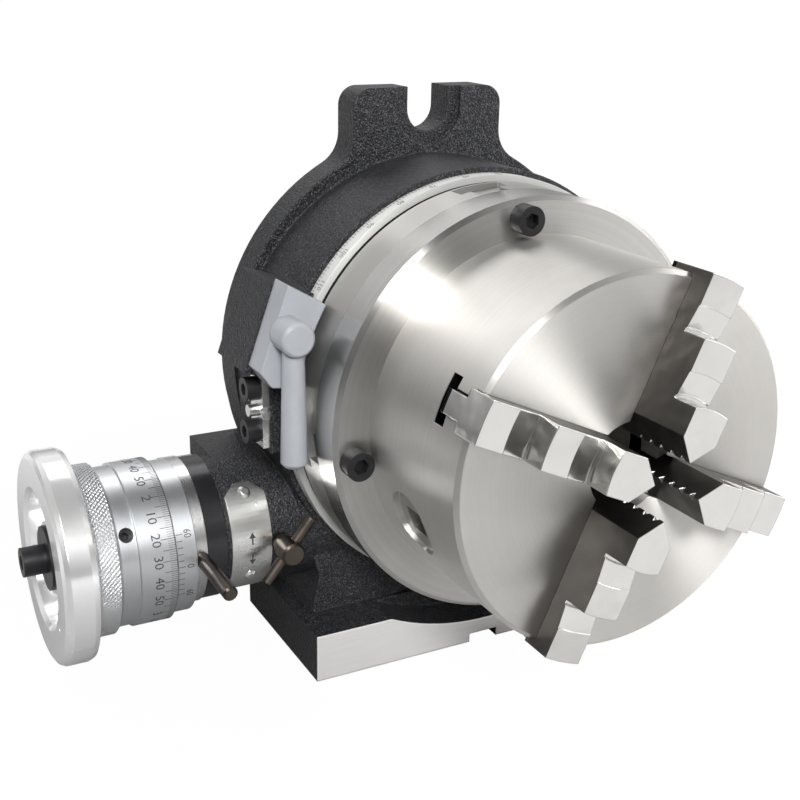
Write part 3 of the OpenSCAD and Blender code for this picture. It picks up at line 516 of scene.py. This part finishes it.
def add_piece(
    name: str, points: np.ndarray, faces: list, body: str, finish: bpy.types.Material
) -> bpy.types.Object:
    """Make one closed piece that rides on a body of the frame.

    Args:
        name: name of the piece.
        points: vertices in millimetres, one row each.
        faces: vertex numbers of each face.
        body: the body it moves with.
        finish: its material.

    Returns:
        The new object, at the origin, with its faces turned outward.
    """
    mesh = bpy.data.meshes.new(name)
    mesh.from_pydata((points * MM).tolist(), [], faces)
    shape = bmesh.new()
    shape.from_mesh(mesh)
    bmesh.ops.remove_doubles(shape, verts=shape.verts, dist=1e-7)
    bmesh.ops.recalc_face_normals(shape, faces=shape.faces)
    shape.to_mesh(mesh)
    shape.free()
    mesh.materials.append(finish)
    made = bpy.data.objects.new(name, mesh)
    bpy.context.scene.collection.objects.link(made)
    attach(made, body)
    LOG.info("%s: %d faces on %s", name, len(mesh.polygons), body)
    return made


@dataclass
class Drawing:
    """Flat solids on a drum: rows of (angle in degrees, place along the axis, height)."""

    points: list[np.ndarray] = field(default_factory=list)
    faces: list = field(default_factory=list)

    def add(self, points: np.ndarray, faces: list) -> None:
        """Add one solid, its face numbers counted from its own first point."""
        start = sum(len(rows) for rows in self.points)
        self.points.append(points)
        self.faces.extend([[start + number for number in face] for face in faces])

    def strips(self, angles: np.ndarray, low: np.ndarray, high: np.ndarray, sink: float, lift: float) -> None:
        """Add strips that run round the drum, all at once.

        Each strip has a four-cornered section at each of its stations, from low to high
        along the axis and from sink below the drum to lift above it. Neighbouring
        sections are joined by four quads and the two ends are closed.

        Args:
            angles: degrees, one row a strip and one column a station.
            low: lower edge along the axis, same shape.
            high: upper edge along the axis, same shape.
            sink: depth under the drum's face.
            lift: height over the drum's face.
        """
        count, steps = angles.shape
        under, over = np.full_like(angles, -sink), np.full_like(angles, lift)
        corners = [(low, under), (high, under), (high, over), (low, over)]
        rows = np.stack([np.stack([angles, along, height], axis=-1) for along, height in corners], axis=2)
        number = np.arange(count * steps * 4).reshape(count, steps, 4)
        here, after = number[:, :-1, :], number[:, 1:, :]
        walls = np.stack([here, after, np.roll(after, -1, axis=2), np.roll(here, -1, axis=2)], axis=-1)
        ends = np.concatenate([number[:, 0, :], number[:, -1, ::-1]])
        self.add(rows.reshape(-1, 3), walls.reshape(-1, 4).tolist() + ends.tolist())

    def ticks(self, angles: np.ndarray, start: float, lengths: np.ndarray, width: np.ndarray | float) -> None:
        """Add straight scale lines.

        Args:
            angles: place of each line in degrees.
            start: where the lines begin along the axis.
            lengths: signed length of each line along the axis.
            width: thickness of a line in degrees.
        """
        half = 0.5 * width
        begin = np.full((len(angles), 2), start)
        end = begin + lengths[:, None]
        self.strips(np.stack([angles - half, angles + half], axis=1), np.minimum(begin, end),
                    np.maximum(begin, end), 0.15, INK)


@dataclass(frozen=True)
class Drum:
    """Cylinder that a flat drawing is wrapped on."""

    turning: Turning
    centre: Point
    radius: float

    def wrap(self, drawing: Drawing) -> np.ndarray:
        """Bend a drawing round the drum.

        A point goes out from the axis by radius plus height, turned by its angle from
        the first cross direction (Y for a drum along X, X for one along Y) toward Z.

        Returns:
            Points in millimetres.
        """
        rows = np.concatenate(drawing.points)
        turn, reach = np.radians(rows[:, 0]), self.radius + rows[:, 2]
        first, second = reach * np.cos(turn), reach * np.sin(turn)
        if self.turning is Turning.ALONG_X:
            return np.column_stack([rows[:, 1], self.centre[1] + first, self.centre[2] + second])
        return np.column_stack([self.centre[0] + first, rows[:, 1], self.centre[2] + second])


class Figures:
    """Plain digits as thin solids, each word made once."""

    def __init__(self) -> None:
        """Start with no words made."""
        self.made: dict[str, tuple[np.ndarray, list]] = {}

    def word(self, text: str) -> tuple[np.ndarray, list]:
        """A word one unit high and one unit thick, centred.

        Returns:
            Its points and its faces.
        """
        if text not in self.made:
            curve = bpy.data.curves.new("figure_" + text, "FONT")
            curve.body, curve.align_x, curve.align_y = text, "CENTER", "CENTER"
            curve.resolution_u, curve.extrude = 2, 0.5
            holder = bpy.data.objects.new("figure_" + text, curve)
            bpy.context.scene.collection.objects.link(holder)
            depsgraph = bpy.context.evaluated_depsgraph_get()
            mesh = bpy.data.meshes.new_from_object(holder.evaluated_get(depsgraph))
            points = np.empty(3 * len(mesh.vertices))
            mesh.vertices.foreach_get("co", points)
            points = points.reshape(-1, 3)
            low, high = points.min(axis=0), points.max(axis=0)
            points = (points - 0.5 * (low + high)) / (high[1] - low[1])
            points[:, 2] *= high[1] - low[1]
            self.made[text] = (points, [list(face.vertices) for face in mesh.polygons])
            bpy.data.objects.remove(holder)
            bpy.data.curves.remove(curve)
            bpy.data.meshes.remove(mesh)
        return self.made[text]

    def write(self, drawing: Drawing, text: str, angle: float, along: float, height: float, radius: float,
              up: float = 1.0, narrow: float = 0.85) -> None:
        """Put a word on a drawing, read toward growing angles.

        Args:
            drawing: where it goes.
            text: the digits.
            angle: middle of the word in degrees.
            along: middle of the word along the axis.
            height: height of the digits in millimetres.
            radius: radius of the drum.
            up: 1 if the digits' tops point along the axis, -1 against it.
            narrow: width of the digits as a share of the font's.
        """
        points, faces = self.word(text)
        across = np.degrees(points[:, 0] * height * narrow / radius)
        place = along + up * points[:, 1] * height
        drawing.add(np.column_stack([angle + across, place, points[:, 2] * 0.12 - INK]), faces)


@dataclass
class DegreeScale:
    """Degrees round the rim of the table."""

    radius: float = 77.0
    rear: float = -18.35
    figure_place: float = -22.2
    figure_height: float = 2.3
    zero: float = 36.0

    def build(self, paints: Paints, figures: Figures) -> None:
        """Engrave a line at each degree and a figure at each tenth."""
        drawing = Drawing()
        degree = np.arange(360)
        lengths = np.where(degree % 10 == 0, -2.6, np.where(degree % 5 == 0, -2.1, -1.5))
        drawing.ticks(self.zero + degree, self.rear, lengths, 0.16)
        for mark in range(0, 360, 10):
            figures.write(drawing, str(mark), self.zero + mark, self.figure_place, self.figure_height,
                          self.radius, up=-1.0)
        points = Drum(Turning.ALONG_Y, TABLE_AXIS, self.radius).wrap(drawing)
        add_piece("degree_scale", points, drawing.faces, "table", paints["mark_grey"])


@dataclass
class MinuteDial:
    """Minutes of arc on the handwheel's dial: four degrees in one turn of the worm."""

    radius: float = 29.5
    edge: float = -118.9
    figure_place: float = -125.4
    figure_height: float = 3.2
    figure_width: float = 1.08
    two_degrees: float = 126.5
    degrees_in_turn: int = 4

    def build(self, paints: Paints, figures: Figures) -> None:
        """Engrave a line at each minute and a figure at each tenth minute or whole degree."""
        drawing = Drawing()
        minute = np.arange(60 * self.degrees_in_turn)
        step = 360.0 / len(minute)
        lengths = np.where(minute % 10 == 0, -5.0, np.where(minute % 5 == 0, -4.6, -2.5))
        width = np.where(minute % 5 == 0, 0.42, 0.26)
        drawing.ticks(self.two_degrees + minute * step, self.edge, lengths, width)
        for mark in range(0, len(minute), 10):
            whole = (2 + mark // 60 - 1) % self.degrees_in_turn + 1
            text = str(whole) if mark % 60 == 0 else str(mark % 60)
            figures.write(drawing, text, self.two_degrees + mark * step, self.figure_place,
                          self.figure_height, self.radius, narrow=self.figure_width)
        points = Drum(Turning.ALONG_X, WORM_AXIS, self.radius).wrap(drawing)
        add_piece("minute_scale", points, drawing.faces, "dial", paints["mark_black"])


@dataclass
class Vernier:
    """Seconds of arc either side of the fixed zero: five parts over sixteen minutes."""

    radius: float = 27.8
    edge: float = -118.1
    figure_place: float = -113.9
    figure_height: float = 2.6
    zero: float = 179.4
    part: float = 4.8

    def build(self, paints: Paints, figures: Figures) -> None:
        """Engrave the lines and the three figures."""
        drawing = Drawing()
        number = np.arange(-5, 6)
        drawing.ticks(self.zero + number * self.part, self.edge, np.where(number % 5 == 0, 2.4, 2.0), 0.45)
        for text, side in (("60", -1), ("0", 0), ("60", 1)):
            place = self.zero + 5 * side * self.part
            figures.write(drawing, text, place, self.figure_place, self.figure_height, self.radius)
        points = Drum(Turning.ALONG_X, WORM_AXIS, self.radius).wrap(drawing)
        add_piece("vernier_scale", points, drawing.faces, "sleeve", paints["mark_black"])


@dataclass
class PlateArrow:
    """Double arrow of the instruction plate, which shows both ways of the eccentric sleeve."""

    radius: float = 26.02
    place: float = -89.2
    tips: tuple[float, float] = (168.0, 196.0)
    tails: tuple[float, float] = (178.0, 186.0)
    head: float = 4.6
    head_half: float = 1.25
    shaft_half: float = 0.28

    def build(self, paints: Paints) -> None:
        """Print the two arrows tail to tail."""
        drawing = Drawing()
        for tip, tail in zip(self.tips, self.tails):
            toward = math.copysign(1.0, tail - tip)
            stations = tip + toward * np.linspace(0.0, self.head, 4)
            half = np.linspace(0.03, self.head_half, 4)
            shaft = np.linspace(tip + toward * (self.head - 0.5), tail, 5)
            for angles, wide in ((stations, half), (shaft, np.full(5, self.shaft_half))):
                low, high = self.place - wide, self.place + wide
                drawing.strips(angles[None, :], low[None, :], high[None, :], 0.05, INK)
        points = Drum(Turning.ALONG_X, SLEEVE_AXIS, self.radius).wrap(drawing)
        add_piece("plate_arrows", points, drawing.faces, "base", paints["mark_black"])


@dataclass
class Knurl:
    """Diamond knurling rolled into a band, as a thin sleeve over it."""

    name: str
    body: str
    slot: str
    finish: str
    radius: float
    start: float
    end: float
    teeth: int
    depth: float
    steps: int = 6

    def build(self, paints: Paints) -> None:
        """Roll the knurl.

        With u and v the two slanted counts of teeth at a point, the height is the depth
        times the smaller of the triangle waves of u and v: small pyramids between two
        crossing sets of grooves. The last rings fall to the band itself.
        """
        around = self.teeth * self.steps
        size = 2.0 * math.pi * self.radius / around
        rows = max(4, round((self.end - self.start) / size))
        turn, place = np.meshgrid(np.arange(around) / around, np.linspace(0.0, 1.0, rows + 1), indexing="ij")
        slant = place * rows * size / (2.0 * math.pi * self.radius)
        waves = [np.abs(((turn + sign * slant) * self.teeth) % 1.0 * 2.0 - 1.0) for sign in (1.0, -1.0)]
        height = self.depth * np.minimum(1.0 - waves[0], 1.0 - waves[1]) * 2.0
        height = np.minimum(height, self.depth) * (np.minimum(place, 1.0 - place) > 0.0)
        outer = np.stack([turn * 360.0, self.start + place * (self.end - self.start), INK + height], axis=-1)
        inner = outer.copy()
        inner[..., 2] = -0.4
        inner = inner[:, [0, -1], :]
        number = np.arange(around * (rows + 1)).reshape(around, rows + 1)
        after = np.roll(number, -1, axis=0)
        quads = np.stack([number[:, :-1], after[:, :-1], after[:, 1:], number[:, 1:]], axis=-1).reshape(-1, 4)
        under = number.size + np.arange(2 * around).reshape(around, 2)
        under_after = np.roll(under, -1, axis=0)
        back = np.stack([under[:, 0], under[:, 1], under_after[:, 1], under_after[:, 0]], axis=-1)
        low = np.stack([number[:, 0], under[:, 0], under_after[:, 0], after[:, 0]], axis=-1)
        high = np.stack([number[:, -1], after[:, -1], under_after[:, 1], under[:, 1]], axis=-1)
        faces = np.concatenate([quads, back, low, high]).tolist()
        drawing = Drawing([outer.reshape(-1, 3), inner.reshape(-1, 3)], faces)
        points = Drum(Turning.ALONG_X, WORM_AXIS, self.radius).wrap(drawing)
        add_piece(self.name, points, drawing.faces, self.body, paints[self.finish])


@dataclass(frozen=True)
class Lamp:
    """Rectangular lamp aimed at the middle of the head."""

    name: str
    place: Point
    size: tuple[float, float]
    watts: float
    aim: Point = (0.0, -30.0, 90.0)

    def build(self) -> None:
        """Hang the lamp."""
        data = bpy.data.lights.new(self.name, "AREA")
        data.shape = "RECTANGLE"
        data.size, data.size_y = (length * MM for length in self.size)
        data.energy = self.watts
        made = bpy.data.objects.new(self.name, data)
        made.location = metres(self.place)
        toward = Vector(metres(self.aim)) - made.location
        made.rotation_euler = toward.to_track_quat("-Z", "Y").to_euler()
        bpy.context.scene.collection.objects.link(made)


@dataclass
class Studio:
    """Pale floor, soft lamps, pale surroundings and the camera of the photograph.

    A panel is a bright patch of the surroundings that only gloss shows: the direction
    toward it, the cosines at which it is full and gone, and its level.
    """

    camera_place: Point = (-230.86, -393.47, 248.46)
    azimuth: float = -28.11
    elevation: float = 19.38
    roll: float = 1.11
    focal_pixels: float = 1230.75
    image_pixels: float = 800.0
    sensor: float = 36.0
    floor_half: float = 30000.0
    floor_drop: float = 0.4
    # centre of the floor's painted shadow under the head
    shade_centre: Point = (-20.0, 120.0, 0.0)
    white_to_camera: float = 0.94
    panels: tuple[tuple[Point, float, float, float], ...] = (
        ((-0.27, -0.80, 0.53), 0.997, 0.988, 55.0),
        ((0.70, -0.60, 0.40), 0.93, 0.75, 0.75),
    )
    lamps: tuple[Lamp, ...] = (
        Lamp("key_lamp", (-700.0, -760.0, 1120.0), (450.0, 450.0), 9.0),
        Lamp("side_lamp", (1100.0, -300.0, 500.0), (500.0, 900.0), 5.0),
        Lamp("top_lamp", (100.0, 700.0, 1100.0), (900.0, 500.0), 3.5),
    )

    def camera(self) -> None:
        """Put the camera where the photograph was taken from."""
        az, el, roll = (math.radians(a) for a in (self.azimuth, self.elevation, self.roll))
        back = Vector((math.sin(az) * math.cos(el), -math.cos(az) * math.cos(el), math.sin(el)))
        right = (-back).cross(Vector((0.0, 0.0, 1.0))).normalized()
        up = back.cross(right)
        cos, sin = math.cos(roll), math.sin(roll)
        right, up = right * cos + up * sin, up * cos - right * sin
        data = bpy.data.cameras.new("camera")
        data.sensor_width = self.sensor
        data.lens = self.focal_pixels / self.image_pixels * self.sensor
        data.clip_start = 0.01
        made = bpy.data.objects.new("camera", data)
        turn = Matrix((right, up, back)).transposed().to_4x4()
        made.matrix_world = Matrix.Translation(metres(self.camera_place)) @ turn
        bpy.context.scene.collection.objects.link(made)
        bpy.context.scene.camera = made

    def surroundings(self) -> None:
        """White to the camera, and a soft studio of light and dark to gloss."""
        world = bpy.data.worlds.new("studio")
        world.use_nodes = True
        world.node_tree.nodes.clear()
        bpy.context.scene.world = world
        g = Graph(world.node_tree)
        path = g.node("LightPath")
        direction = g.node("TexCoord").outputs["Generated"]
        way = g.node("SeparateXYZ", Vector=direction)
        sky = g.ramp(way.outputs["Z"], [(0.0, 0.16), (0.15, 0.34), (0.45, 0.86), (0.80, 0.40), (1.0, 0.28)])
        behind = g.math("ADD", g.math("MULTIPLY", way.outputs["Y"], 0.5), 0.5)
        depth = g.ramp(behind, [(0.0, 0.12), (0.35, 0.25), (0.8, 1.0), (1.0, 1.0)])
        tone = g.math("MULTIPLY", sky, depth)
        for toward, inner, outer, level in self.panels:
            nearness = g.vector("DOT_PRODUCT", direction, Vector(toward).normalized())
            patch = g.node("MapRange", {"interpolation_type": "SMOOTHSTEP"}, Value=nearness, i1=outer,
                           i2=inner, i3=0.0, i4=level)
            tone = g.math("ADD", tone, patch.outputs[0])
        glossy = g.node("Background", Color=tone, Strength=1.0)
        seen = g.node("Background", Strength=1.0)
        seen.inputs["Color"].default_value = (1.0, 1.0, 1.0, 1.0)
        camera = path.outputs["Is Camera Ray"]
        shown = g.node("MixShader", i0=camera, i1=glossy.outputs[0], i2=seen.outputs[0])
        g.node("OutputWorld", Surface=shown.outputs[0])

    def floor(self) -> None:
        """Wide floor, nearly white to the camera; in the metal's reflections it shows a painted shadow under
        the head and painted shade to the front left.
        """
        side = self.floor_half
        mesh = bpy.data.meshes.new("floor")
        corners = [(-side, -side), (side, -side), (side, side), (-side, side)]
        mesh.from_pydata([metres((x, y, -self.floor_drop)) for x, y in corners], [], [(0, 1, 2, 3)])
        made = bpy.data.objects.new("floor", mesh)
        bpy.context.scene.collection.objects.link(made)
        paper = bpy.data.materials.new("floor_paper")
        paper.use_nodes = True
        paper.node_tree.nodes.clear()
        g = Graph(paper.node_tree)
        place = g.node("TexCoord").outputs["Object"]
        spot = g.node("SeparateXYZ", Vector=place).outputs
        # painted shadow: the floor's colour darkens round shade_centre, under and behind the head
        away = g.math("MULTIPLY", g.length(g.vector("SUBTRACT", place, metres(self.shade_centre))), 2.0)
        tone = g.ramp(away, [(0.0, 0.08), (0.24, 0.10), (0.44, 0.60), (0.80, 0.80)])
        # painted shade: the floor's colour dims further toward the left and the front
        left_shade = g.node("MapRange", Value=spot["X"], i1=0.06, i2=-0.26, i3=0.0, i4=0.80).outputs[0]
        front = g.node("MapRange", Value=spot["Y"], i1=0.10, i2=-0.08, i3=0.0, i4=1.0).outputs[0]
        tone = g.math("MULTIPLY", tone, g.math("SUBTRACT", 1.0, g.math("MULTIPLY", left_shade, front)))
        matt = g.node("BsdfPrincipled", Base_Color=tone, Roughness=0.6)
        glow = g.node("Emission", Strength=1.04)
        share = g.math("MULTIPLY", g.node("LightPath").outputs["Is Camera Ray"], self.white_to_camera)
        shown = g.node("MixShader", i0=share, i1=matt.outputs[0], i2=glow.outputs[0])
        g.node("OutputMaterial", Surface=shown.outputs[0])
        mesh.materials.append(paper)

    def build(self) -> None:
        """Set up the whole studio."""
        self.camera()
        self.surroundings()
        self.floor()
        for lamp in self.lamps:
            lamp.build()
        bpy.context.scene.view_settings.view_transform = "Standard"
        LOG.info("studio ready")


def main() -> None:
    """Build the studio, the finishes and each added piece in order."""
    logging.basicConfig(level=logging.INFO, format="%(name)s: %(message)s")
    Studio().build()
    paints = Paints(Effects.build())
    dress_nodes(paints)
    figures = Figures()
    DegreeScale().build(paints, figures)
    MinuteDial().build(paints, figures)
    Vernier().build(paints, figures)
    PlateArrow().build(paints)
    Knurl("dial_knurl", "dial", "dial_satin", "knurl_satin", 30.3, -145.8, -138.7, 112, 0.38).build(paints)


if __name__ == "__main__":
    main()
